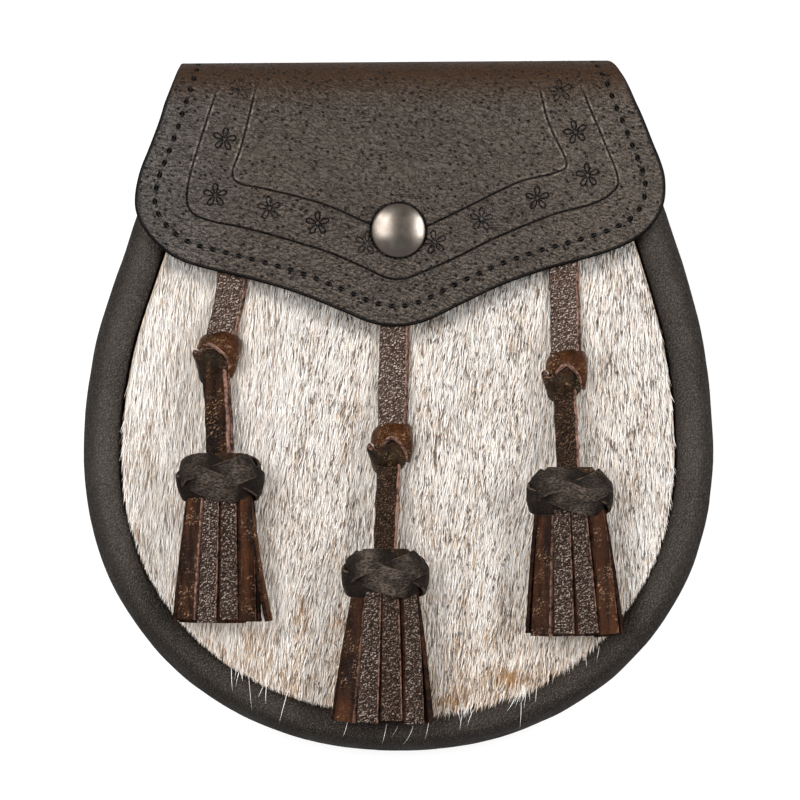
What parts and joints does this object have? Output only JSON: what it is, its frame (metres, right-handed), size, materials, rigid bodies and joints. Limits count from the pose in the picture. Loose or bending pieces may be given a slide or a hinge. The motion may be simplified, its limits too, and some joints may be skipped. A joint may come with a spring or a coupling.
{
  "type": "sporran pouch",
  "caption": "Flat leather belt pouch with a rolled border, a fur front, a snapped tooled flap and hanging leather tassels.",
  "frame": {"origin": "on the surface that the pouch lies on, under the middle of its box", "axes": "the pouch lies on its back: +X to the right and +Y to its top, seen from the front, +Z out of its front"},
  "size_m": [0.189, 0.207, 0.048],
  "materials": {
    "border_leather": "fine soft grain, matt, very dark brown",
    "flap_leather": "pigskin grain with pores, tooled lines and small flower stamps, dark brown",
    "fur": "short hair-on hide, cream with tan and grey-brown hairs, lying downwards",
    "tassel_leather": "pebbled, glossy dark brown with lighter raw edges",
    "knot_leather": "thin black leather bands with pale cut edges",
    "snap_metal": "satin nickel plate"
  },
  "bodies": {
    "root": {"back_panel": "border_leather", "border_gusset": "border_leather", "belt_loop_left": "border_leather", "belt_loop_right": "border_leather", "fur_front": "fur", "flap": "flap_leather", "snap_cap": "snap_metal", "snap_stud": "snap_metal", "strap_left": "tassel_leather", "strap_centre": "tassel_leather", "strap_right": "tassel_leather", "woven_knot_left": "knot_leather", "woven_knot_centre": "knot_leather", "woven_knot_right": "knot_leather", "fringe_left": "tassel_leather", "fringe_centre": "tassel_leather", "fringe_right": "tassel_leather"}
  },
  "joints": []
}
